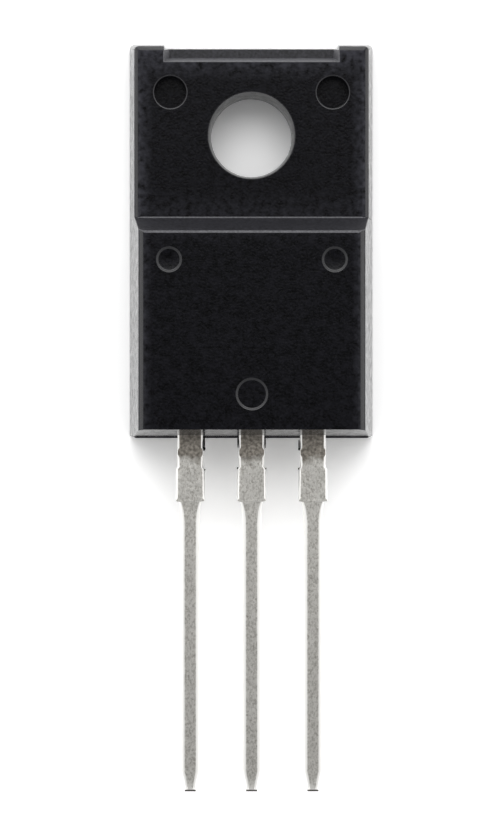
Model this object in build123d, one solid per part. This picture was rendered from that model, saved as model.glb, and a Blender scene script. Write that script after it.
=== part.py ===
from build123d import *
import os
from math import radians, tan

# A three-lead power transistor in a fully moulded housing. All sizes are in millimetres.
# The origin is on the axis of the screw hole, in the plane of the rear mounting face.
# +Z points out of the front face, +X to the right, and the leads run along -Y.

os.makedirs("parts", exist_ok=True)

# Housing outline, measured where the two halves of the mould met
BODY_WIDTH = 10.2
BODY_LENGTH = 16.5
HOLE_TO_TOP = 3.95
BODY_THICKNESS = 4.6
TAB_THICKNESS = 2.7
STEP_BELOW_HOLE = 3.42
STEP_SLOPE = 18.3
PARTING_HEIGHT = 0.35
FRONT_DRAFT = 6.3
REAR_DRAFT = 2.0
FLANGE_WIDTH = 0.12
LUG_CORNER = 0.2
FOOT_CORNER = 0.1
CORNER_SHARE = 0.9

# Bevels round the front faces of the body, the tab and the step between them
BODY_EDGE = 0.25
TAB_EDGE = 0.2
STEP_EDGE = 0.15

# Shelf between the two corner lugs at the top of the tab
SHELF_WIDTH = 6.86
SHELF_LENGTH = 0.69
SHELF_DEPTH = 0.85
SHELF_DRAFT = 13.5
SHELF_SETBACK = 0.15

# Screw hole: straight from the rear, then a draft that opens towards the front
HOLE_RADIUS = 1.68
HOLE_LAND = 1.8
HOLE_DRAFT = 7.6

# Recesses that the mould's support pins left in the tab
PIN_RADIUS = 0.66
PIN_SPREAD = 3.37
PIN_ABOVE_HOLE = 1.79
PIN_SKIN = 0.35
PIN_DRAFT = 2.0

# Shallow marks of the ejector pins on the body
MARK_DEPTH = 0.06
MARK_DRAFT = 40.0
UPPER_MARK_RADIUS = 0.51
UPPER_MARK_SPREAD = 3.4
UPPER_MARK_DROP = 1.79
LOWER_MARK_RADIUS = 0.645
LOWER_MARK_RISE = 1.82

# Leads outside the housing
LEAD_PITCH = 2.54
LEAD_LENGTH = 14.63
LEAD_THICKNESS = 0.5
LEAD_WIDTH = 0.8
LEAD_EDGE = 0.18
SHOULDER_WIDTH = 1.19
SHOULDER_LENGTH = 2.6
SHOULDER_EDGE = 0.13
NECK_WIDTH = 1.0
NECK_LENGTH = 0.55
TIP_WIDTH = 0.44
TIP_THICKNESS = 0.28
TIP_LENGTH = 0.78
TIP_EDGE = 0.1

# Stub that is left on each side of a lead where its tie bar was cut
STUB_OFFSET = 0.38
STUB_LENGTH = 0.36
STUB_REACH = 0.02

# Copper header inside the housing, with its set down from the plane of the leads
REAR_COVER = 0.5
SIDE_COVER = 0.9
SHELF_COVER = 0.4
HOLE_LINING = 0.7
HEADER_THICKNESS = 1.3
HEADER_CORNER = 0.5
LEAD_DOWNSET = 0.6
BEND_START = 0.15
BEND_ANGLE = 45.0
BEND_OVERLAP = 0.4

# Bond posts at the inner ends of the two side leads
POST_WIDTH = 2.0
POST_LENGTH = 1.4
POST_CORNER = 0.2
POST_DEPTH = 3.2
POST_GAP = 0.3

# Chip and its solder
DIE_SIZE = 2.4
DIE_THICKNESS = 0.25
DIE_FROM_HEADER_END = 2.4
SOLDER_THICKNESS = 0.05
SOLDER_MARGIN = 0.1

# Bond wires, with feet that are wider than the wire and flatter, as shares of its diameter
BASE_WIRE_RADIUS = 0.1
EMITTER_WIRE_RADIUS = 0.15
PAD_FROM_DIE_EDGE = 0.6
LOOP_RISE = 0.55
FOOT_LENGTH = 0.6
FOOT_SPREAD = 1.4
FOOT_FLATNESS = 0.65

# Places that follow from the sizes above
top_y = HOLE_TO_TOP
bottom_y = HOLE_TO_TOP - BODY_LENGTH
step_y = -STEP_BELOW_HOLE
header_top = REAR_COVER + HEADER_THICKNESS
lead_bottom = header_top + LEAD_DOWNSET
lead_mid = lead_bottom + LEAD_THICKNESS / 2
lead_top = lead_bottom + LEAD_THICKNESS
shelf_height = TAB_THICKNESS - SHELF_DEPTH
shelf_foot_y = top_y - SHELF_LENGTH
post_far_y = bottom_y + POST_DEPTH
header_end_y = post_far_y + POST_GAP
die_y = header_end_y + DIE_FROM_HEADER_END
die_top = header_top + SOLDER_THICKNESS + DIE_THICKNESS
hole_mouth = HOLE_RADIUS + (TAB_THICKNESS - HOLE_LAND) * tan(radians(HOLE_DRAFT))

# Cutting solids run this far past the faces they cut
MARGIN = 0.5


def draft(height, angle):
    """How far a wall leans over a height."""
    return height * tan(radians(angle))


def end_section(thickness, edge):
    """The housing's section across its width, up to a face at one thickness, with bevelled edges."""
    half = BODY_WIDTH / 2
    rear = half - draft(PARTING_HEIGHT, REAR_DRAFT)
    shoulder = half - draft(thickness - edge - PARTING_HEIGHT, FRONT_DRAFT)
    right = [
        (rear, 0),
        (half, PARTING_HEIGHT),
        (shoulder, thickness - edge),
        (shoulder - edge, thickness),
    ]
    left = [(-x, z) for x, z in reversed(right)]
    return Plane.XZ * make_face(Polyline(*right, *left, close=True))


def tab_side():
    """Side view of the tab: rear face, top wall with its parting line, and front face."""
    bevel_y = top_y - draft(TAB_THICKNESS - TAB_EDGE - PARTING_HEIGHT, FRONT_DRAFT)
    points = [
        (step_y - STEP_EDGE, 0),
        (top_y - draft(PARTING_HEIGHT, REAR_DRAFT), 0),
        (top_y, PARTING_HEIGHT),
        (bevel_y, TAB_THICKNESS - TAB_EDGE),
        (bevel_y - TAB_EDGE, TAB_THICKNESS),
        (step_y - STEP_EDGE, TAB_THICKNESS),
    ]
    return Plane.YZ * make_face(Polyline(*points, close=True))


def body_side():
    """Side view of the thick body: sloped step, front face, and bottom wall with the flange at the leads."""
    slope_y = step_y - draft(BODY_THICKNESS - STEP_EDGE - TAB_THICKNESS, STEP_SLOPE)
    flange_y = bottom_y + FLANGE_WIDTH
    points = [
        (step_y, 0),
        (step_y, TAB_THICKNESS),
        (slope_y, BODY_THICKNESS - STEP_EDGE),
        (slope_y - STEP_EDGE, BODY_THICKNESS),
        (flange_y + draft(BODY_THICKNESS - lead_bottom, FRONT_DRAFT), BODY_THICKNESS),
        (flange_y, lead_bottom),
        (bottom_y, lead_bottom),
        (bottom_y + draft(lead_bottom, REAR_DRAFT), 0),
    ]
    return Plane.YZ * make_face(Polyline(*points, close=True))


def crossed(section, side):
    """The solid whose end view is the section and whose side view is the side."""
    return extrude(section, BODY_LENGTH, both=True) & extrude(side, BODY_WIDTH, both=True)


def corner_edges(block, y, top):
    """The edges that climb the two corners of a block at one end, up to the bevel round its face."""
    reach = draft(BODY_THICKNESS, FRONT_DRAFT)

    def at_corner(edge):
        start, middle, end = edge @ 0, edge @ 0.5, edge @ 1
        climbs = abs(end.Z - start.Z) > FLANGE_WIDTH and middle.Z < top
        return climbs and abs(abs(middle.X) - BODY_WIDTH / 2) < reach and abs(middle.Y - y) < reach

    return block.edges().filter_by(at_corner)


def outer_form():
    """Body and tab as one drafted block, with its four upright corners rounded.

    The flange at the leads leaves room only for a rounding that is a share of its own width.
    """
    body = crossed(end_section(BODY_THICKNESS, BODY_EDGE), body_side())
    tab = crossed(end_section(TAB_THICKNESS, TAB_EDGE), tab_side())
    block = body + tab
    block = fillet(corner_edges(block, top_y, TAB_THICKNESS - TAB_EDGE), LUG_CORNER)
    foot_corner = min(FOOT_CORNER, CORNER_SHARE * FLANGE_WIDTH)
    return fillet(corner_edges(block, bottom_y, BODY_THICKNESS - BODY_EDGE), foot_corner)


def shelf_cut():
    """The drafted pocket between the corner lugs, and the setback of the top wall below it."""
    height = SHELF_DEPTH + MARGIN
    length = SHELF_LENGTH + BODY_WIDTH
    floor = Pos(0, shelf_foot_y + length / 2, shelf_height) * Rectangle(SHELF_WIDTH, length)
    pocket = extrude(floor, height, taper=-SHELF_DRAFT)
    wall_y = top_y - SHELF_SETBACK
    rear_y = wall_y - draft(PARTING_HEIGHT, REAR_DRAFT)
    front_y = wall_y - draft(TAB_THICKNESS - PARTING_HEIGHT, FRONT_DRAFT)
    points = [
        (top_y + MARGIN, 0),
        (rear_y, 0),
        (wall_y, PARTING_HEIGHT),
        (front_y, TAB_THICKNESS),
        (top_y + MARGIN, TAB_THICKNESS),
    ]
    side = Plane.YZ * make_face(Polyline(*points, close=True))
    width = SHELF_WIDTH + 2 * draft(SHELF_DEPTH, SHELF_DRAFT)
    return pocket + extrude(side, width / 2, both=True)


def screw_hole():
    """The bore for the fixing screw, turned from its profile."""
    mouth = hole_mouth + draft(MARGIN, HOLE_DRAFT)
    points = [
        (0, -MARGIN),
        (HOLE_RADIUS, -MARGIN),
        (HOLE_RADIUS, HOLE_LAND),
        (mouth, TAB_THICKNESS + MARGIN),
        (0, TAB_THICKNESS + MARGIN),
    ]
    return revolve(Plane.XZ * make_face(Polyline(*points, close=True)), Axis.Z)


def pin_mark(x, y, face, radius, depth, angle):
    """A round recess in a face, which widens towards the face at the given draft."""
    floor = Pos(x, y, face - depth) * Circle(radius - draft(depth, angle))
    return extrude(floor, depth + MARK_DEPTH, taper=-angle)


def mould_marks():
    """Support-pin recesses in the tab and ejector marks on the body."""
    pin_depth = TAB_THICKNESS - header_top - PIN_SKIN
    upper_y = step_y - UPPER_MARK_DROP
    lower_y = bottom_y + LOWER_MARK_RISE
    marks = pin_mark(0, lower_y, BODY_THICKNESS, LOWER_MARK_RADIUS, MARK_DEPTH, MARK_DRAFT)
    for side in (-1, 1):
        marks += pin_mark(side * PIN_SPREAD, PIN_ABOVE_HOLE, TAB_THICKNESS, PIN_RADIUS, pin_depth, PIN_DRAFT)
        marks += pin_mark(
            side * UPPER_MARK_SPREAD, upper_y, BODY_THICKNESS, UPPER_MARK_RADIUS, MARK_DEPTH, MARK_DRAFT
        )
    return marks


def lead_section(x, y, width, thickness, edge):
    """A lead's rounded cross-section, looking along the lead."""
    place = Plane(origin=(x, y, lead_mid), x_dir=(1, 0, 0), z_dir=(0, -1, 0))
    return place * RectangleRounded(width, thickness, edge)


def lead_shank(x, start_y):
    """One lead from a place inside the housing to its tip: shoulder, neck, leg and coined tip."""
    shoulder_y = bottom_y - SHOULDER_LENGTH
    neck_y = shoulder_y - NECK_LENGTH
    tip_y = bottom_y - LEAD_LENGTH
    taper_y = tip_y + TIP_LENGTH
    shoulder = lead_section(x, start_y, SHOULDER_WIDTH, LEAD_THICKNESS, SHOULDER_EDGE)
    neck = lead_section(x, shoulder_y, NECK_WIDTH, LEAD_THICKNESS, SHOULDER_EDGE)
    waist = lead_section(x, neck_y, LEAD_WIDTH, LEAD_THICKNESS, LEAD_EDGE)
    leg = lead_section(x, taper_y, LEAD_WIDTH, LEAD_THICKNESS, LEAD_EDGE)
    tip = lead_section(x, tip_y, TIP_WIDTH, TIP_THICKNESS, TIP_EDGE)
    shank = extrude(shoulder, start_y - shoulder_y)
    shank += loft([neck, waist])
    shank += extrude(waist, neck_y - taper_y)
    shank += loft([leg, tip])
    stub = Box(SHOULDER_WIDTH + 2 * STUB_REACH, STUB_LENGTH, LEAD_THICKNESS)
    return shank + Pos(x, bottom_y - STUB_OFFSET - STUB_LENGTH / 2, lead_mid) * stub


def side_lead(x):
    """A side lead with the wide bond post at its inner end."""
    post = Pos(x, post_far_y - POST_LENGTH / 2, lead_bottom) * RectangleRounded(
        POST_WIDTH, POST_LENGTH, POST_CORNER
    )
    return extrude(post, LEAD_THICKNESS) + lead_shank(x, post_far_y - POST_LENGTH / 2)


def header():
    """The copper plate under the chip, which runs up the tab round the screw hole."""
    width = BODY_WIDTH - 2 * SIDE_COVER
    end_y = shelf_foot_y - SHELF_COVER
    length = end_y - header_end_y
    plate = Pos(0, header_end_y + length / 2, REAR_COVER) * RectangleRounded(width, length, HEADER_CORNER)
    clearance = Pos(0, 0, REAR_COVER) * Circle(hole_mouth + HOLE_LINING)
    return extrude(plate - clearance, HEADER_THICKNESS)


def set_down():
    """The bent strip that joins the header's top face to the plane of the leads."""
    rise = lead_top - header_top
    lean = LEAD_THICKNESS * tan(radians(BEND_ANGLE / 2))
    foot_y = header_end_y - BEND_START
    head_y = foot_y - rise / tan(radians(BEND_ANGLE))
    start_y = header_end_y + BEND_OVERLAP
    end_y = head_y - BEND_OVERLAP
    points = [
        (start_y, header_top - LEAD_THICKNESS),
        (foot_y, header_top - LEAD_THICKNESS),
        (head_y, lead_bottom),
        (end_y, lead_bottom),
        (end_y, lead_top),
        (head_y + lean, lead_top),
        (foot_y + lean, header_top),
        (start_y, header_top),
    ]
    side = Plane.YZ * make_face(Polyline(*points, close=True))
    return extrude(side, SHOULDER_WIDTH / 2, both=True), end_y


def collector():
    """Header, set-down and middle lead, all one piece of the lead frame."""
    strip, end_y = set_down()
    return header() + strip + lead_shank(0, end_y + BEND_OVERLAP / 2)


def die_attach():
    """The solder under the chip."""
    size = DIE_SIZE + 2 * SOLDER_MARGIN
    return extrude(Pos(0, die_y, header_top) * Rectangle(size, size), SOLDER_THICKNESS)


def silicon_die():
    """The chip."""
    floor = header_top + SOLDER_THICKNESS
    return extrude(Pos(0, die_y, floor) * Rectangle(DIE_SIZE, DIE_SIZE), DIE_THICKNESS)


def bond_wire(side, radius):
    """A round wire looped from the chip to a post, pressed flat into a foot at each end."""
    pad = DIE_SIZE / 2 - PAD_FROM_DIE_EDGE
    start = Vector(side * pad, die_y - pad, die_top)
    end = Vector(side * LEAD_PITCH, post_far_y - POST_LENGTH / 2, lead_top)
    crest = Vector((start.X + end.X) / 2, (start.Y + end.Y) / 2, lead_top + LOOP_RISE)
    path = ThreePointArc(start, crest, end)
    wire = sweep(Plane(origin=path @ 0, z_dir=path % 0) * Circle(radius), path=path)
    along = Vector(end.X - start.X, end.Y - start.Y, 0)
    for place in (start, end):
        outline = Plane(origin=place, x_dir=along, z_dir=(0, 0, 1)) * SlotOverall(
            FOOT_LENGTH, 2 * radius * FOOT_SPREAD
        )
        wire += extrude(outline, 2 * radius * FOOT_FLATNESS)
    return wire


def export(name, piece):
    """Write one piece, and print how many solids it holds and its volume."""
    print(name, len(piece.solids()), round(piece.volume, 4), piece.is_valid)
    export_step(piece, f"parts/{name}.step")


collector_lead = collector()
base_lead = side_lead(-LEAD_PITCH)
emitter_lead = side_lead(LEAD_PITCH)
solder = die_attach()
die = silicon_die()
base_wire = bond_wire(-1, BASE_WIRE_RADIUS) - die - base_lead
emitter_wire = bond_wire(1, EMITTER_WIRE_RADIUS) - die - emitter_lead

moulded_body = outer_form() - shelf_cut() - screw_hole() - mould_marks()
for inner in (collector_lead, base_lead, emitter_lead, solder, die, base_wire, emitter_wire):
    moulded_body -= inner

export("moulded_body", moulded_body)
export("collector_lead", collector_lead)
export("base_lead", base_lead)
export("emitter_lead", emitter_lead)
export("die_attach", solder)
export("silicon_die", die)
export("base_wire", base_wire)
export("emitter_wire", emitter_wire)
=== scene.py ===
from math import atan, cos, radians, sin, tan

import bmesh
import bpy
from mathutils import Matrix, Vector


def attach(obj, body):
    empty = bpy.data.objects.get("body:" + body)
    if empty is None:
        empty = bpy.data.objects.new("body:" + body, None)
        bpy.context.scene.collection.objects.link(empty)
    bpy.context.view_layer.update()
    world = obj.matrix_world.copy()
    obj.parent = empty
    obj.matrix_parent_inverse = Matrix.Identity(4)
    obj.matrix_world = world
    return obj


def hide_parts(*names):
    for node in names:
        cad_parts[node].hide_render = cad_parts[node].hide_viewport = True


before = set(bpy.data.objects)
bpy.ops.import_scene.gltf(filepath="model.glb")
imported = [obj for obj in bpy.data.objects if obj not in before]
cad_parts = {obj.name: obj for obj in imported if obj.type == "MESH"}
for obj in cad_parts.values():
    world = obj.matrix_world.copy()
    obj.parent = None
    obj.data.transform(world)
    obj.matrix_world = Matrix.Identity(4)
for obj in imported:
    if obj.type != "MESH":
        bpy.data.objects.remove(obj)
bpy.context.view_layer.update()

# Leads and lead frame. The three leads are stamped from copper alloy strip 0.5 mm thick and dipped in tin
# after moulding. The middle lead and the header under the chip are one piece. All are held fast by the
# moulding round them.
MM = 0.001
MOTTLE_SIZE = 0.3
PIT_SIZE = 0.07
GRAIN_STRETCH = 0.6
TIN_DULL = "CFCDC7"
TIN_BRIGHT = "E6E4DF"
TIN_ROUND_HIGHLIGHT = "F6F5F2"
TIN_PIT = "98948C"
OLD_PLATING_SHADE_DARK = "6E6962"
OLD_PLATING_SHADE_LIGHT = "A49E95"
BARE_CUT = "6B6864"
CUT_LINE = -27.1
DIP_AND_SHADE_LINE = -14.1
DIP_AND_SHADE_WANDER = 1.1
DIP_AND_SHADE_EDGE = 0.25
WANDER_SIZE = 0.5
BROWN_MOTTLE_SIZE = 0.12


def linear(code):
    """The linear colour of an sRGB hex value."""
    channels = [int(code[i:i + 2], 16) / 255 for i in (0, 2, 4)]
    return [c / 12.92 if c <= 0.04045 else ((c + 0.055) / 1.055) ** 2.4 for c in channels] + [1.0]


def add_node(tree, kind, values={}, links={}, **properties):
    """Add a node with its properties, the values of its sockets and what is linked into them."""
    node = tree.nodes.new(kind)
    for name, value in properties.items():
        setattr(node, name, value)
    for socket, value in values.items():
        node.inputs[socket].default_value = value
    for socket, source in links.items():
        tree.links.new(source, node.inputs[socket])
    return node


def new_material(name):
    """A material with its output, its shader and its object coordinates."""
    material = bpy.data.materials.new(name)
    material.use_nodes = True
    tree = material.node_tree
    tree.nodes.clear()
    shader = tree.nodes.new("ShaderNodeBsdfPrincipled")
    add_node(tree, "ShaderNodeOutputMaterial", {}, {"Surface": shader.outputs["BSDF"]})
    return material, tree, shader, tree.nodes.new("ShaderNodeTexCoord").outputs["Object"]


def per_mm(size):
    """The scale of a noise whose features are this many millimetres wide."""
    return 1 / (size * MM)


# Dull dipped tin: a metal with a soft sheen, mottled and pitted where the tin froze, with grain along the
# lead. Its rounded edges are coloured a paler tin, a painted highlight of the bright tent they mirror. Next
# to the housing the flat tops are coloured a mottled brown up to an uneven line: partly the older plating
# behind the dip line, partly a painted reflection of the black housing above them.
tin, tree, shader, place = new_material("dipped_tin")
along = add_node(tree, "ShaderNodeMapping", {"Scale": (1.0, GRAIN_STRETCH, 1.0)}, {"Vector": place})
mottle = add_node(
    tree, "ShaderNodeTexNoise", {"Scale": per_mm(MOTTLE_SIZE), "Detail": 4.0},
    {"Vector": along.outputs[0]},
)
pits = add_node(
    tree, "ShaderNodeTexNoise", {"Scale": per_mm(PIT_SIZE), "Detail": 3.0, "Roughness": 0.65},
    {"Vector": along.outputs[0]},
)
pitted = add_node(
    tree, "ShaderNodeMapRange", {"From Min": 0.25, "From Max": 0.55}, {"Value": pits.outputs["Fac"]},
)
tone = add_node(
    tree, "ShaderNodeMix", {6: linear(TIN_DULL), 7: linear(TIN_BRIGHT)}, {0: mottle.outputs["Fac"]},
    data_type="RGBA",
)
tone = add_node(
    tree, "ShaderNodeMix", {6: linear(TIN_PIT)}, {0: pitted.outputs[0], 7: tone.outputs[2]},
    data_type="RGBA",
)
facing = tree.nodes.new("ShaderNodeTexCoord").outputs["Normal"]
facing = add_node(tree, "ShaderNodeSeparateXYZ", {}, {0: facing})
facing = add_node(tree, "ShaderNodeMath", {}, {0: facing.outputs["Z"]}, operation="ABSOLUTE")
flat = add_node(
    tree, "ShaderNodeMapRange", {"From Min": 0.965, "From Max": 0.997}, {"Value": facing.outputs[0]},
)
# Painted highlight: faces that lean away from straight up, the rounded edges, are coloured a paler tin for
# the bright tent they mirror.
tone = add_node(
    tree, "ShaderNodeMix", {6: linear(TIN_ROUND_HIGHLIGHT)}, {0: flat.outputs[0], 7: tone.outputs[2]},
    data_type="RGBA",
)
split = add_node(tree, "ShaderNodeSeparateXYZ", {}, {0: place})
wander = add_node(
    tree, "ShaderNodeTexNoise", {"Scale": per_mm(WANDER_SIZE), "Detail": 4.0}, {"Vector": place}
)
shift = add_node(
    tree, "ShaderNodeMath", {1: DIP_AND_SHADE_WANDER * MM, 2: DIP_AND_SHADE_LINE * MM}, {0: wander.outputs["Fac"]},
    operation="MULTIPLY_ADD",
)
# Partly painted shade: next to the housing the flat tops are coloured a mottled brown, partly the older
# plating behind the dip line and partly a painted reflection of the black housing wall above them.
behind = add_node(
    tree, "ShaderNodeMath", {}, {0: split.outputs["Y"], 1: shift.outputs[0]}, operation="SUBTRACT",
)
behind = add_node(
    tree, "ShaderNodeMapRange", {"From Min": 0.0, "From Max": DIP_AND_SHADE_EDGE * MM},
    {"Value": behind.outputs[0]},
)
behind = add_node(
    tree, "ShaderNodeMath", {}, {0: behind.outputs[0], 1: flat.outputs[0]}, operation="MULTIPLY",
)
brown_mottle = add_node(
    tree, "ShaderNodeTexNoise", {"Scale": per_mm(BROWN_MOTTLE_SIZE), "Detail": 4.0}, {"Vector": place}
)
brown_mottle = add_node(
    tree, "ShaderNodeMapRange", {"From Min": 0.35, "From Max": 0.65}, {"Value": brown_mottle.outputs["Fac"]},
)
old_plating_and_shade = add_node(
    tree, "ShaderNodeMix", {6: linear(OLD_PLATING_SHADE_DARK), 7: linear(OLD_PLATING_SHADE_LIGHT)}, {0: brown_mottle.outputs[0]},
    data_type="RGBA",
)
tone = add_node(
    tree, "ShaderNodeMix", {}, {0: behind.outputs[0], 6: tone.outputs[2], 7: old_plating_and_shade.outputs[2]},
    data_type="RGBA",
)
cut = add_node(
    tree, "ShaderNodeMapRange", {"From Min": CUT_LINE * MM, "From Max": (CUT_LINE - 0.01) * MM},
    {"Value": split.outputs["Y"]},
)
tone = add_node(
    tree, "ShaderNodeMix", {7: linear(BARE_CUT)}, {0: cut.outputs[0], 6: tone.outputs[2]},
    data_type="RGBA",
)
ripple = add_node(tree, "ShaderNodeBump", {"Distance": 0.012 * MM}, {"Height": mottle.outputs["Fac"]})
relief = add_node(
    tree, "ShaderNodeBump", {"Distance": 0.006 * MM},
    {"Height": pits.outputs["Fac"], "Normal": ripple.outputs["Normal"]},
)
shader.inputs["Metallic"].default_value = 1.0
shader.inputs["Roughness"].default_value = 0.3
tree.links.new(tone.outputs[2], shader.inputs["Base Color"])
tree.links.new(relief.outputs["Normal"], shader.inputs["Normal"])

# Each lead is drawn out of the CAD lead, cut just inside the housing. A section gives its place along the
# lead, its half width, its half thickness and the radius of its edges, in millimetres.
LEAD_PITCH = 2.54
LEAD_MID = 2.65
LEAD_START = (-12.2, 0.595, 0.25, 0.13)
LEAD_SECTIONS = (
    (-12.25, 0.53, 0.25, 0.10), (-12.94, 0.53, 0.25, 0.10), (-13.04, 0.54, 0.25, 0.03),
    (-13.22, 0.54, 0.25, 0.03), (-13.36, 0.525, 0.25, 0.10), (-13.74, 0.525, 0.25, 0.10),
    (-13.84, 0.595, 0.25, 0.10), (-15.04, 0.595, 0.25, 0.09), (-15.11, 0.60, 0.25, 0.02),
    (-15.17, 0.60, 0.25, 0.02), (-15.19, 0.46, 0.25, 0.09), (-15.37, 0.42, 0.25, 0.12),
    (-15.60, 0.405, 0.25, 0.16), (-16.00, 0.40, 0.25, 0.20), (-26.35, 0.40, 0.25, 0.20),
    (-26.78, 0.30, 0.21, 0.185), (-27.08, 0.24, 0.18, 0.165), (-27.11, 0.235, 0.17, 0.02),
    (-27.18, 0.23, 0.15, 0.02),
)
CREASE = radians(40.0)


def draw_lead(form, end):
    """Draw a lead out of its end face, from one section to the next."""
    last = LEAD_START
    for section in LEAD_SECTIONS:
        moved = bmesh.ops.extrude_face_region(form, geom=[end])["geom"]
        bmesh.ops.delete(form, geom=[end], context="FACES_ONLY")
        end = [item for item in moved if isinstance(item, bmesh.types.BMFace)][0]
        for vert in end.verts:
            for axis, size in ((0, 1), (2, 2)):
                side = 1 if vert.co[axis] > 0 else -1
                part = (side * vert.co[axis] - last[size] + last[3]) / last[3]
                vert.co[axis] = side * (section[size] - section[3] + part * section[3])
            vert.co.y = section[0]
        last = section


def piece_of(name, form):
    """A new object that holds the form."""
    data = bpy.data.meshes.new(name)
    form.to_mesh(data)
    form.free()
    piece = bpy.data.objects.new(name, data)
    bpy.context.scene.collection.objects.link(piece)
    return piece


def smooth_faces(form, crease):
    """Shade the form smooth, apart from edges sharper than the crease."""
    for face in form.faces:
        face.smooth = True
    for edge in form.edges:
        edge.smooth = edge.calc_face_angle(0) < crease


def even_faces(piece):
    """Shade each flat face of the piece evenly, up to its rounded edges."""
    even = piece.modifiers.new("even_faces", "WEIGHTED_NORMAL")
    even.mode = "FACE_AREA"
    even.weight = 100
    even.keep_sharp = True


for node, column in (("collector_lead", 0), ("base_lead", -1), ("emitter_lead", 1)):
    form = bmesh.new()
    form.from_mesh(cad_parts[node].data)
    bmesh.ops.remove_doubles(form, verts=form.verts, dist=1e-4 * MM)
    bmesh.ops.translate(form, vec=(-column * LEAD_PITCH * MM, 0, -LEAD_MID * MM), verts=form.verts)
    bmesh.ops.scale(form, vec=(1 / MM, 1 / MM, 1 / MM), verts=form.verts)
    everything = form.verts[:] + form.edges[:] + form.faces[:]
    cut = bmesh.ops.bisect_plane(
        form, geom=everything, plane_co=(0, LEAD_START[0], 0), plane_no=(0, -1, 0), clear_outer=True,
    )
    rim = [item for item in cut["geom_cut"] if isinstance(item, bmesh.types.BMEdge)]
    end = bmesh.ops.holes_fill(form, edges=rim)["faces"][0]
    draw_lead(form, end)
    bmesh.ops.recalc_face_normals(form, faces=form.faces)
    smooth_faces(form, CREASE)
    bmesh.ops.scale(form, vec=(MM, MM, MM), verts=form.verts)
    bmesh.ops.translate(form, vec=(column * LEAD_PITCH * MM, 0, LEAD_MID * MM), verts=form.verts)
    lead = piece_of("tinned_" + node, form)
    lead.data.materials.append(tin)
    even_faces(lead)
    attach(lead, "root")
    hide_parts(node)

# Chip, its solder and its two aluminium bond wires, all sealed in the moulding. The solder is dull and
# grainy, the chip's glass is polished with faint cloudy colour, and the wires are drawn smooth.
for node, dark, light, patch, metallic, roughness in (
    ("die_attach", "8E8F91", "B4B5B7", 0.15, 1.0, 0.4),
    ("silicon_die", "4A4C58", "666874", 0.60, 0.6, 0.2),
    ("base_wire", "C6C7C9", "DEDFE1", 0.08, 1.0, 0.35),
    ("emitter_wire", "C6C7C9", "DEDFE1", 0.08, 1.0, 0.35),
):
    finish, tree, shader, place = new_material(node + "_finish")
    cloud = add_node(
        tree, "ShaderNodeTexNoise", {"Scale": per_mm(patch), "Detail": 3.0}, {"Vector": place},
    )
    tone = add_node(
        tree, "ShaderNodeMix", {6: linear(dark), 7: linear(light)}, {0: cloud.outputs["Fac"]},
        data_type="RGBA",
    )
    relief = add_node(tree, "ShaderNodeBump", {"Distance": 0.002 * MM}, {"Height": cloud.outputs["Fac"]})
    tree.links.new(tone.outputs[2], shader.inputs["Base Color"])
    tree.links.new(relief.outputs["Normal"], shader.inputs["Normal"])
    shader.inputs["Metallic"].default_value = metallic
    shader.inputs["Roughness"].default_value = roughness
    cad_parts[node].data.materials.clear()
    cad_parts[node].data.materials.append(finish)

# Housing. It is transfer moulded round the lead frame from black epoxy filled with silica. Its faces have
# the fine grain of a spark-eroded mould, and its drafted walls and bevels are polished. Sizes are in
# millimetres, and the form is made at that size and brought to metres at the end.
HOUSING_TOP = 3.95
HOUSING_BOTTOM = -12.55
HOUSING_HALF = 5.1
BODY_HEIGHT = 4.6
TAB_HEIGHT = 2.7
PARTING = 0.35
FRONT_DRAFT = radians(6.3)
REAR_DRAFT = radians(2.0)
BODY_BEVEL = 0.25
TAB_BEVEL = 0.2
STEP_BEVEL = 0.1
STEP_FOOT = -3.42
STEP_LEAN = radians(18.3)
FLANGE = 0.06
BOTTOM_DRAFT = radians(7.8)
LEAD_REAR = 2.4
SHELF_HALF = 3.43
SHELF_FOOT = 3.26
SHELF_FLOOR = 1.85
SHELF_DRAFT = radians(13.5)
SHELF_SETBACK = 0.15
HOLE_RADIUS = 1.68
HOLE_LAND = 1.8
HOLE_DRAFT = radians(7.6)
PIN_PLACES = ((-3.37, 1.79), (3.37, 1.79))
PIN_RADIUS = 0.66
PIN_DEPTH = 0.55
PIN_DRAFT = radians(2.0)
MARK_DEPTH = 0.06
MARK_DRAFT = radians(40.0)
MARK_PLACES = ((-3.4, -5.21, 0.51), (3.4, -5.21, 0.51), (0.0, -10.73, 0.645))
CUT_MARGIN = 0.5
EDGE_ROUND = 0.025
SIDE_ROUND = 0.07
FOOT_ROUND = 0.045
LUG_CORNER = 0.2
FOOT_CORNER = 0.1
RIM_ROUND = 0.06
SIDE_ANGLE = radians(12.0)
SHARP_ANGLE = radians(35.0)
MERGE_DISTANCE = 2e-3
TOLERANCE = 0.02
CIRCLE_SIDES = 96


def side_block(outline):
    """A solid whose side view is the outline, as wide as the housing."""
    form = bmesh.new()
    face = form.faces.new([form.verts.new((-HOUSING_HALF, y, z)) for y, z in outline])
    moved = bmesh.ops.extrude_face_region(form, geom=[face])["geom"]
    ends = [item for item in moved if isinstance(item, bmesh.types.BMVert)]
    bmesh.ops.translate(form, vec=(2 * HOUSING_HALF, 0, 0), verts=ends)
    bmesh.ops.recalc_face_normals(form, faces=form.faces)
    return form


def trim(form, point, normal):
    """Cut away what lies beyond a plane, and close the cut."""
    everything = form.verts[:] + form.edges[:] + form.faces[:]
    cut = bmesh.ops.bisect_plane(form, geom=everything, plane_co=point, plane_no=normal, clear_outer=True)
    rim = [item for item in cut["geom_cut"] if isinstance(item, bmesh.types.BMEdge)]
    bmesh.ops.holes_fill(form, edges=rim)


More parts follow.
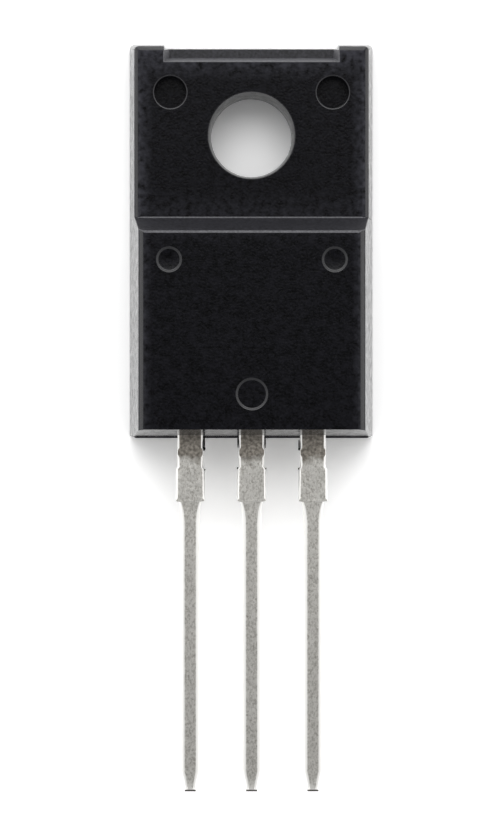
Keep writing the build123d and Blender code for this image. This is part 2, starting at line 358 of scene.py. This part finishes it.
def draft_sides(form, height, bevel):
    """Lean both side walls away from the parting line, and bevel them where they meet the front face."""
    shoulder = HOUSING_HALF - (height - bevel - PARTING) * tan(FRONT_DRAFT)
    for side in (-1, 1):
        parting = (side * HOUSING_HALF, 0, PARTING)
        trim(form, parting, (side * cos(FRONT_DRAFT), 0, sin(FRONT_DRAFT)))
        trim(form, parting, (side * cos(REAR_DRAFT), 0, -sin(REAR_DRAFT)))
        trim(form, (side * shoulder, 0, height - bevel), (side, 0, 1))
    bmesh.ops.recalc_face_normals(form, faces=form.faces)


def combine(piece, tool, operation):
    """Join the tool to the piece or cut it away, and remove the tool."""
    cut = piece.modifiers.new(operation, "BOOLEAN")
    cut.object = tool
    cut.operation = operation
    cut.solver = "MANIFOLD"
    depsgraph = bpy.context.evaluated_depsgraph_get()
    result = bpy.data.meshes.new_from_object(piece.evaluated_get(depsgraph))
    piece.modifiers.clear()
    piece.data = result
    bpy.data.objects.remove(tool)


def turned_cut(x, y, rings):
    """A round cutter turned from its profile, with a radius at each height, from the lowest up."""
    form = bmesh.new()
    profile = [(0, rings[0][1]), *rings, (0, rings[-1][1])]
    points = [form.verts.new((radius, 0, height)) for radius, height in profile]
    line = [form.edges.new(pair) for pair in zip(points, points[1:])]
    bmesh.ops.spin(
        form, geom=points + line, cent=(0, 0, 0), axis=(0, 0, 1), angle=radians(360), steps=CIRCLE_SIDES,
        use_merge=True,
    )
    bmesh.ops.remove_doubles(form, verts=form.verts, dist=1e-4)
    bmesh.ops.recalc_face_normals(form, faces=form.faces)
    bmesh.ops.translate(form, vec=(x, y, 0), verts=form.verts)
    return piece_of("cutter", form)


def round_corners(form, end_y, facing, end_leans, radius):
    """Round the corners between the side walls and an end wall with four flats, from rear to front."""
    for side in (-1, 1):
        for step in range(1, 5):
            across = cos(radians(18 * step))
            along = sin(radians(18 * step))
            x = side * (HOUSING_HALF - radius * (1 - across))
            y = end_y - facing * radius * (1 - along)
            for draft in (FRONT_DRAFT, -REAR_DRAFT):
                lean = tan(draft) * (across + along * end_leans)
                trim(form, (x, y, PARTING), (side * across, facing * along, lean))


slope_end = STEP_FOOT - (BODY_HEIGHT - STEP_BEVEL - TAB_HEIGHT) * tan(STEP_LEAN)
flange_y = HOUSING_BOTTOM + FLANGE
body_form = side_block([
    (STEP_FOOT, 0),
    (STEP_FOOT, TAB_HEIGHT),
    (slope_end, BODY_HEIGHT - STEP_BEVEL),
    (slope_end - STEP_BEVEL, BODY_HEIGHT),
    (flange_y + (BODY_HEIGHT - LEAD_REAR) * tan(BOTTOM_DRAFT), BODY_HEIGHT),
    (flange_y, LEAD_REAR),
    (HOUSING_BOTTOM, LEAD_REAR),
    (HOUSING_BOTTOM + LEAD_REAR * tan(REAR_DRAFT), 0),
])
draft_sides(body_form, BODY_HEIGHT, BODY_BEVEL)
round_corners(body_form, HOUSING_BOTTOM, -1, 0, FOOT_CORNER)
housing = piece_of("housing", body_form)

bevel_y = HOUSING_TOP - (TAB_HEIGHT - TAB_BEVEL - PARTING) * tan(FRONT_DRAFT)
tab_form = side_block([
    (STEP_FOOT - STEP_BEVEL, 0),
    (HOUSING_TOP - PARTING * tan(REAR_DRAFT), 0),
    (HOUSING_TOP, PARTING),
    (bevel_y, TAB_HEIGHT - TAB_BEVEL),
    (bevel_y - TAB_BEVEL, TAB_HEIGHT),
    (STEP_FOOT - STEP_BEVEL, TAB_HEIGHT),
])
draft_sides(tab_form, TAB_HEIGHT, TAB_BEVEL)
round_corners(tab_form, HOUSING_TOP, 1, 1, LUG_CORNER)
combine(housing, piece_of("tab", tab_form), "UNION")

# The shelf between the corner lugs leans back on three sides, and the top wall below it is set back.
shelf = bmesh.new()
shelf_rise = TAB_HEIGHT + CUT_MARGIN - SHELF_FLOOR
bmesh.ops.create_cube(shelf, size=1.0)
shelf_end = HOUSING_TOP + 2 * CUT_MARGIN
bmesh.ops.scale(shelf, vec=(2 * SHELF_HALF, shelf_end - SHELF_FOOT, shelf_rise), verts=shelf.verts)
shelf_middle = (0, (SHELF_FOOT + shelf_end) / 2, SHELF_FLOOR + shelf_rise / 2)
bmesh.ops.translate(shelf, vec=shelf_middle, verts=shelf.verts)
spread = shelf_rise * tan(SHELF_DRAFT)
for corner in shelf.verts:
    if corner.co.z > TAB_HEIGHT:
        corner.co.x += spread if corner.co.x > 0 else -spread
        if corner.co.y < HOUSING_TOP:
            corner.co.y -= spread
combine(housing, piece_of("shelf", shelf), "DIFFERENCE")
setback = side_block([
    (HOUSING_TOP + CUT_MARGIN, -CUT_MARGIN),
    (HOUSING_TOP - SHELF_SETBACK - (PARTING + CUT_MARGIN) * tan(REAR_DRAFT), -CUT_MARGIN),
    (HOUSING_TOP - SHELF_SETBACK, PARTING),
    (HOUSING_TOP - SHELF_SETBACK - (TAB_HEIGHT - PARTING) * tan(FRONT_DRAFT), TAB_HEIGHT),
    (HOUSING_TOP + CUT_MARGIN, TAB_HEIGHT),
])
half = SHELF_HALF + (TAB_HEIGHT - SHELF_FLOOR) * tan(SHELF_DRAFT)
bmesh.ops.scale(setback, vec=(half / HOUSING_HALF, 1, 1), verts=setback.verts)
combine(housing, piece_of("setback", setback), "DIFFERENCE")

# The screw hole opens with its draft. The mould's support pins left the two recesses, and its ejectors left
# the three marks.
above_tab = TAB_HEIGHT + CUT_MARGIN
mouth = HOLE_RADIUS + (above_tab - HOLE_LAND) * tan(HOLE_DRAFT)
hole = turned_cut(0, 0, ((HOLE_RADIUS, -CUT_MARGIN), (HOLE_RADIUS, HOLE_LAND), (mouth, above_tab)))
combine(housing, hole, "DIFFERENCE")
for x, y in PIN_PLACES:
    floor_radius = PIN_RADIUS - PIN_DEPTH * tan(PIN_DRAFT)
    rim_radius = PIN_RADIUS + CUT_MARGIN * tan(PIN_DRAFT)
    pin = turned_cut(x, y, ((floor_radius, TAB_HEIGHT - PIN_DEPTH), (rim_radius, above_tab)))
    combine(housing, pin, "DIFFERENCE")
for x, y, radius in MARK_PLACES:
    floor_radius = radius - MARK_DEPTH * tan(MARK_DRAFT)
    rim_radius = radius + MARK_DEPTH * tan(MARK_DRAFT)
    rings = ((floor_radius, BODY_HEIGHT - MARK_DEPTH), (rim_radius, BODY_HEIGHT + MARK_DEPTH))
    mark = turned_cut(x, y, rings)
    combine(housing, mark, "DIFFERENCE")


def rank(point):
    """A number that puts points into the same order in every run."""
    return sum(round(1000 * value) * weight for value, weight in zip(point, (1e10, 1e5, 1)))


def put_in_order(form):
    """Sort the form by place, since a cut leaves its points in an order that changes from run to run."""
    form.verts.sort(key=lambda vert: rank(vert.co))
    form.edges.sort(key=lambda edge: rank(edge.verts[0].co + edge.verts[1].co))
    form.faces.sort(key=lambda face: rank(face.calc_center_median()))


form = bmesh.new()
form.from_mesh(housing.data)
put_in_order(form)
bmesh.ops.remove_doubles(form, verts=form.verts, dist=MERGE_DISTANCE)
put_in_order(form)
bmesh.ops.dissolve_limit(form, angle_limit=radians(1.0), verts=form.verts, edges=form.edges)
walls = [
    face for face in form.faces
    if face.normal.y > 0.9 and face.calc_center_median().y > SHELF_FOOT + 0.2
]
bmesh.ops.connect_verts_concave(form, faces=walls)


def round_edges(form, edges, radius, segments):
    """Round these edges of the housing."""
    bmesh.ops.bevel(
        form, geom=edges, offset=radius, offset_type="OFFSET", affect="EDGES", segments=segments,
        profile=0.5, material=-1,
    )


def on_circle(edge, x, y, radius):
    """Whether an edge of the tab's front face lies on the rim of a round hole."""
    return all(
        abs(((vert.co.x - x) ** 2 + (vert.co.y - y) ** 2) ** 0.5 - radius) < TOLERANCE
        and abs(vert.co.z - TAB_HEIGHT) < TOLERANCE
        for vert in edge.verts
    )


rims = [edge for edge in form.edges if any(on_circle(edge, x, y, PIN_RADIUS) for x, y in PIN_PLACES)]
round_edges(form, rims, RIM_ROUND, 3)
sides = [
    edge for edge in form.edges
    if edge.calc_face_angle(0) > SIDE_ANGLE and abs(edge.verts[0].co.y - edge.verts[1].co.y) > 2.0
    and all(vert.co.z > TAB_HEIGHT - TAB_BEVEL - 0.1 and abs(vert.co.x) > 4.0 for vert in edge.verts)
]
round_edges(form, sides, SIDE_ROUND, 2)
foot = [
    edge for edge in form.edges
    if edge.calc_length() > 4.0
    and all(abs(vert.co.y - STEP_FOOT) + abs(vert.co.z - TAB_HEIGHT) < TOLERANCE for vert in edge.verts)
]
round_edges(form, foot, FOOT_ROUND, 2)
sharp = [edge for edge in form.edges if edge.is_manifold and edge.calc_face_angle() > SHARP_ANGLE]
round_edges(form, sharp, EDGE_ROUND, 2)
smooth_faces(form, SHARP_ANGLE)
bmesh.ops.scale(form, vec=(MM, MM, MM), verts=form.verts)
form.to_mesh(housing.data)
form.free()
even_faces(housing)

# Black epoxy off a spark-eroded mould: near black, with a fine matte grain. It is coloured a little paler in
# patches towards the edges of both faces and along the foot of the step.
GRAIN_SIZE = 0.1
BLOTCH_SIZE = 0.25
PALE_BAND_WIDTH = 0.55
EPOXY_DARK = "020203"
EPOXY_LIGHT = "121216"
EPOXY_PALE = "35353B"
grained, tree, shader, place = new_material("black_epoxy_grained")
grain = add_node(
    tree, "ShaderNodeTexNoise", {"Scale": per_mm(GRAIN_SIZE), "Detail": 3.0}, {"Vector": place},
)
blotch = add_node(
    tree, "ShaderNodeTexNoise", {"Scale": per_mm(BLOTCH_SIZE), "Detail": 3.0}, {"Vector": place},
)
split = add_node(tree, "ShaderNodeSeparateXYZ", {}, {0: place})
across = add_node(tree, "ShaderNodeMath", {}, {0: split.outputs["X"]}, operation="ABSOLUTE")
from_step = add_node(
    tree, "ShaderNodeMath", {1: STEP_FOOT * MM}, {0: split.outputs["Y"]}, operation="SUBTRACT",
)
from_step = add_node(tree, "ShaderNodeMath", {}, {0: from_step.outputs[0]}, operation="ABSOLUTE")
pale_patches = add_node(
    tree, "ShaderNodeMapRange", {"From Min": 1.2 * MM, "From Max": 0.0, "To Max": 0.35},
    {"Value": from_step.outputs[0]},
)
for source, near, edge in (
    (across.outputs[0], (HOUSING_HALF - 0.45 - PALE_BAND_WIDTH) * MM, (HOUSING_HALF - 0.4) * MM),
    (split.outputs["Y"], (HOUSING_TOP - 0.6 - 2 * PALE_BAND_WIDTH) * MM, (HOUSING_TOP - 0.6) * MM),
):
    band = add_node(tree, "ShaderNodeMapRange", {"From Min": near, "From Max": edge}, {"Value": source})
    pale_patches = add_node(
        tree, "ShaderNodeMath", {}, {0: pale_patches.outputs[0], 1: band.outputs[0]}, operation="MAXIMUM",
    )
patchy = add_node(
    tree, "ShaderNodeMapRange", {"From Min": 0.3, "From Max": 0.7}, {"Value": blotch.outputs["Fac"]},
)
pale_patches = add_node(
    tree, "ShaderNodeMath", {}, {0: pale_patches.outputs[0], 1: patchy.outputs[0]}, operation="MULTIPLY",
)
speckled = add_node(
    tree, "ShaderNodeMath", {}, {0: grain.outputs["Fac"], 1: blotch.outputs["Fac"]}, operation="ADD",
)
speckled = add_node(
    tree, "ShaderNodeMapRange", {"From Min": 0.75, "From Max": 1.25}, {"Value": speckled.outputs[0]},
)
tone = add_node(
    tree, "ShaderNodeMix", {6: linear(EPOXY_DARK), 7: linear(EPOXY_LIGHT)}, {0: speckled.outputs[0]},
    data_type="RGBA",
)
tone = add_node(
    tree, "ShaderNodeMix", {7: linear(EPOXY_PALE)}, {0: pale_patches.outputs[0], 6: tone.outputs[2]},
    data_type="RGBA",
)
relief = add_node(tree, "ShaderNodeBump", {"Distance": 0.009 * MM}, {"Height": grain.outputs["Fac"]})
shader.inputs["Roughness"].default_value = 0.25
shader.inputs["Specular IOR Level"].default_value = 0.1
tree.links.new(tone.outputs[2], shader.inputs["Base Color"])
tree.links.new(relief.outputs["Normal"], shader.inputs["Normal"])

# The same epoxy off the polished walls of the mould: smoother, so the walls mirror the floor at a grazing
# view, through a faint uneven haze.
HAZE_SIZE = 0.3
POLISH_DARK = "18181A"
POLISH_LIGHT = "28282B"
polished, tree, shader, place = new_material("black_epoxy_polished")
grain = add_node(
    tree, "ShaderNodeTexNoise", {"Scale": per_mm(GRAIN_SIZE), "Detail": 3.0}, {"Vector": place},
)
tone = add_node(
    tree, "ShaderNodeMix", {6: linear(POLISH_DARK), 7: linear(POLISH_LIGHT)}, {0: grain.outputs["Fac"]},
    data_type="RGBA",
)
relief = add_node(tree, "ShaderNodeBump", {"Distance": 0.002 * MM}, {"Height": grain.outputs["Fac"]})
haze = add_node(
    tree, "ShaderNodeTexNoise", {"Scale": per_mm(HAZE_SIZE), "Detail": 4.0}, {"Vector": place},
)
gloss = add_node(
    tree, "ShaderNodeMapRange", {"From Min": 0.3, "From Max": 0.7, "To Min": 0.1, "To Max": 0.3},
    {"Value": haze.outputs["Fac"]},
)
tree.links.new(gloss.outputs[0], shader.inputs["Roughness"])
shader.inputs["IOR"].default_value = 1.47
tree.links.new(tone.outputs[2], shader.inputs["Base Color"])
tree.links.new(relief.outputs["Normal"], shader.inputs["Normal"])

# The same epoxy where the mould dragged it on the way out. The steep step, the flange and the shelf's floor
# are scuffed a matte grey. The step's two edges and the shelf's walls are coloured a pale grey, a painted
# highlight for the lines of light they catch.
RIM_REACH = 0.08
GRAINED, POLISHED, SCUFFED, PALE_HIGHLIGHT = range(4)
housing.data.materials.clear()
housing.data.materials.append(grained)
housing.data.materials.append(polished)
for name, dark, light, level in (
    ("black_epoxy_scuffed", "0A0A0D", "2E2E33", 0.3),
    # Painted highlight: a pale grey epoxy for the step's two edges and the shelf's walls.
    ("black_epoxy_painted_highlight", "38383C", "56565A", 0.5),
):
    finish, tree, shader, place = new_material(name)
    grain = add_node(
        tree, "ShaderNodeTexNoise", {"Scale": per_mm(GRAIN_SIZE), "Detail": 3.0}, {"Vector": place},
    )
    scuffs = add_node(
        tree, "ShaderNodeMapRange", {"From Min": 0.3, "From Max": 0.7}, {"Value": grain.outputs["Fac"]},
    )
    tone = add_node(
        tree, "ShaderNodeMix", {6: linear(dark), 7: linear(light)}, {0: scuffs.outputs[0]},
        data_type="RGBA",
    )
    relief = add_node(tree, "ShaderNodeBump", {"Distance": 0.004 * MM}, {"Height": grain.outputs["Fac"]})
    shader.inputs["Roughness"].default_value = 0.5
    shader.inputs["Specular IOR Level"].default_value = level
    tree.links.new(tone.outputs[2], shader.inputs["Base Color"])
    tree.links.new(relief.outputs["Normal"], shader.inputs["Normal"])
    housing.data.materials.append(finish)


def in_pin(x, y):
    """Whether a place is inside one of the two pin recesses."""
    return any((x - px) ** 2 + (y - py) ** 2 < PIN_RADIUS ** 2 for px, py in PIN_PLACES)


def on_rim(x, y, z):
    """Whether a place is on the rounded rim of the hole, a recess or a mark."""
    hole_rim = (0, 0, HOLE_RADIUS + (TAB_HEIGHT - HOLE_LAND) * tan(HOLE_DRAFT))
    rims = (hole_rim, *((px, py, PIN_RADIUS) for px, py in PIN_PLACES), *MARK_PLACES)
    return z > TAB_HEIGHT - RIM_REACH and any(
        abs(((x - px) ** 2 + (y - py) ** 2) ** 0.5 - radius) < RIM_REACH for px, py, radius in rims
    )


def housing_finish(polygon):
    """Which of the four finishes a face of the housing has."""
    x, y, z = polygon.center / MM
    rise = polygon.normal.z
    if on_rim(x, y, z) and polygon.area < (RIM_REACH * MM) ** 2 * 4:
        return POLISHED
    if in_pin(x, y):
        return GRAINED
    in_shelf = abs(x) < SHELF_HALF + 0.3 and y > SHELF_FOOT - 0.3 and z > SHELF_FLOOR - 0.1
    outer_wall = y > SHELF_FOOT + 0.3 and rise < 0.9
    if in_shelf and not outer_wall:
        if y > SHELF_FOOT and rise > 0.9 and abs(x) < SHELF_HALF:
            return SCUFFED
        # Painted highlight: the shelf's walls take the pale grey epoxy.
        return GRAINED if rise > 0.95 else PALE_HIGHLIGHT
    on_step = slope_end - STEP_BEVEL - 0.05 < y < STEP_FOOT + 0.1
    if on_step and abs(x) < HOUSING_HALF - 0.4 and rise < 0.95:
        # Painted highlight: the step's two edges take the pale grey epoxy.
        return SCUFFED if rise < 0.4 else PALE_HIGHLIGHT
    if y < flange_y and z > LEAD_REAR - RIM_REACH:
        return SCUFFED
    return POLISHED if rise < 0.2 or 0.66 < rise < 0.75 else GRAINED


for polygon in housing.data.polygons:
    polygon.material_index = housing_finish(polygon)
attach(housing, "root")
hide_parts("moulded_body")

# Resin flash. Where the mould closed on the leads, thin black slivers of epoxy crept out along their sides,
# and a few crumbs are left where the bar between the leads was sheared off. Each is an elongated lump: x, y,
# half width and half length.
FLASH_LUMPS = (
    (-1.965, -12.75, 0.045, 0.32), (-1.965, -12.99, 0.065, 0.09), (-0.565, -12.70, 0.035, 0.28),
    (0.565, -12.72, 0.03, 0.28), (1.965, -12.82, 0.035, 0.24), (1.965, -13.0, 0.045, 0.07),
    (-1.955, -13.86, 0.05, 0.05), (-0.58, -13.80, 0.04, 0.05), (0.58, -13.82, 0.04, 0.045),
    (1.955, -13.82, 0.045, 0.05),
)
FLASH_THICKNESS = 0.3
FLASH_RISE = 0.05
flash_form = bmesh.new()
for x, y, half_width, half_length in FLASH_LUMPS:
    lump = bmesh.ops.create_icosphere(flash_form, subdivisions=2, radius=1.0)["verts"]
    bmesh.ops.scale(flash_form, vec=(half_width, half_length, FLASH_THICKNESS / 2), verts=lump)
    bmesh.ops.translate(flash_form, vec=(x, y, LEAD_MID + FLASH_RISE), verts=lump)
smooth_faces(flash_form, CREASE)
bmesh.ops.scale(flash_form, vec=(MM, MM, MM), verts=flash_form.verts)
flash = piece_of("resin_flash", flash_form)
flash.data.materials.append(grained)
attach(flash, "root")

# Floor: a wide white sheet under the part. To the camera it is exposed a little past white, as a bright
# backdrop is.
floor_form = bmesh.new()
bmesh.ops.create_grid(floor_form, x_segments=1, y_segments=1, size=2.0)
floor = piece_of("floor", floor_form)
paper = bpy.data.materials.new("white_sheet")
paper.use_nodes = True
tree = paper.node_tree
tree.nodes.clear()
path = add_node(tree, "ShaderNodeLightPath")
seen = add_node(
    tree, "ShaderNodeMath", {}, {0: path.outputs["Is Camera Ray"], 1: path.outputs["Is Glossy Ray"]},
    operation="MAXIMUM",
)
seen = add_node(
    tree, "ShaderNodeMath", {}, {0: seen.outputs[0], 1: path.outputs["Is Transmission Ray"]},
    operation="MAXIMUM",
)
sheet = add_node(tree, "ShaderNodeBsdfDiffuse", {"Color": linear("F3F3F3")})
lift = add_node(tree, "ShaderNodeBsdfDiffuse", {"Color": [0.35, 0.35, 0.35, 1.0]})
both = add_node(tree, "ShaderNodeAddShader", {}, {0: sheet.outputs[0], 1: lift.outputs[0]})
mix = add_node(
    tree, "ShaderNodeMixShader", {}, {0: seen.outputs[0], 1: sheet.outputs[0], 2: both.outputs[0]},
)
add_node(tree, "ShaderNodeOutputMaterial", {}, {"Surface": mix.outputs[0]})
floor.data.materials.append(paper)

# Light: a white studio tent all round, brighter behind the tab and low down. Overhead it has the dark round
# gap that the camera looks through, which the flat faces mirror.
GAP_EDGE = cos(radians(6.0))
GAP_RIM = cos(radians(16.0))
GAP_LEAN = radians(-5.0)
world = bpy.data.worlds.new("tent")
world.use_nodes = True
bpy.context.scene.world = world
tree = world.node_tree
tree.nodes.clear()
direction = tree.nodes.new("ShaderNodeTexCoord").outputs["Generated"]
split = add_node(tree, "ShaderNodeSeparateXYZ", {}, {0: direction})
rear = add_node(tree, "ShaderNodeMath", {1: 0.6}, {0: split.outputs["Y"]}, operation="MULTIPLY")
low = add_node(
    tree, "ShaderNodeMapRange", {"From Min": 0.0, "From Max": 1.0, "To Min": 1.2, "To Max": 0.9},
    {"Value": split.outputs["Z"]},
)
tent = add_node(tree, "ShaderNodeMath", {}, {0: rear.outputs[0], 1: low.outputs[0]}, operation="ADD")
aim = add_node(
    tree, "ShaderNodeVectorMath", {1: (0.0, sin(GAP_LEAN), cos(GAP_LEAN))}, {0: direction},
    operation="DOT_PRODUCT",
)
gap = add_node(
    tree, "ShaderNodeMapRange",
    {"From Min": GAP_RIM, "From Max": GAP_EDGE, "To Min": 1.0, "To Max": 0.03},
    {"Value": aim.outputs["Value"]}, interpolation_type="SMOOTHSTEP",
)
tent = add_node(tree, "ShaderNodeMath", {}, {0: tent.outputs[0], 1: gap.outputs[0]}, operation="MULTIPLY")
path = add_node(tree, "ShaderNodeLightPath")
strength = add_node(
    tree, "ShaderNodeMix", {3: 1.0}, {0: path.outputs["Is Camera Ray"], 2: tent.outputs[0]},
    data_type="FLOAT",
)
background = add_node(
    tree, "ShaderNodeBackground", {"Color": [1, 1, 1, 1]}, {"Strength": strength.outputs[0]},
)
add_node(tree, "ShaderNodeOutputWorld", {}, {"Surface": background.outputs[0]})

# The key lamp is a softbox high behind the tab.
KEY_PLACE = Vector((0.0, 0.17, 0.33))
key_data = bpy.data.lights.new("key_softbox", "AREA")
key_data.shape = "RECTANGLE"
key_data.size = 0.3
key_data.size_y = 0.2
key_data.energy = 0.48
key = bpy.data.objects.new("key_softbox", key_data)
bpy.context.scene.collection.objects.link(key)
key.location = KEY_PLACE
key.rotation_euler = (Vector((0, -0.008, 0)) - KEY_PLACE).to_track_quat("-Z", "Y").to_euler()

# Camera: straight above the part, as in the photograph.
camera_data = bpy.data.cameras.new("camera")
camera_data.sensor_width = 36.0
camera_data.lens = 180.8
camera_data.clip_start = 0.01
camera = bpy.data.objects.new("camera", camera_data)
bpy.context.scene.collection.objects.link(camera)
camera.location = (-1.4 * MM, -11.55 * MM, 175 * MM)
camera.rotation_euler = (0.0, -atan(1.21 / 172.3), 0.0)
bpy.context.scene.camera = camera
bpy.context.scene.view_settings.view_transform = "Standard"
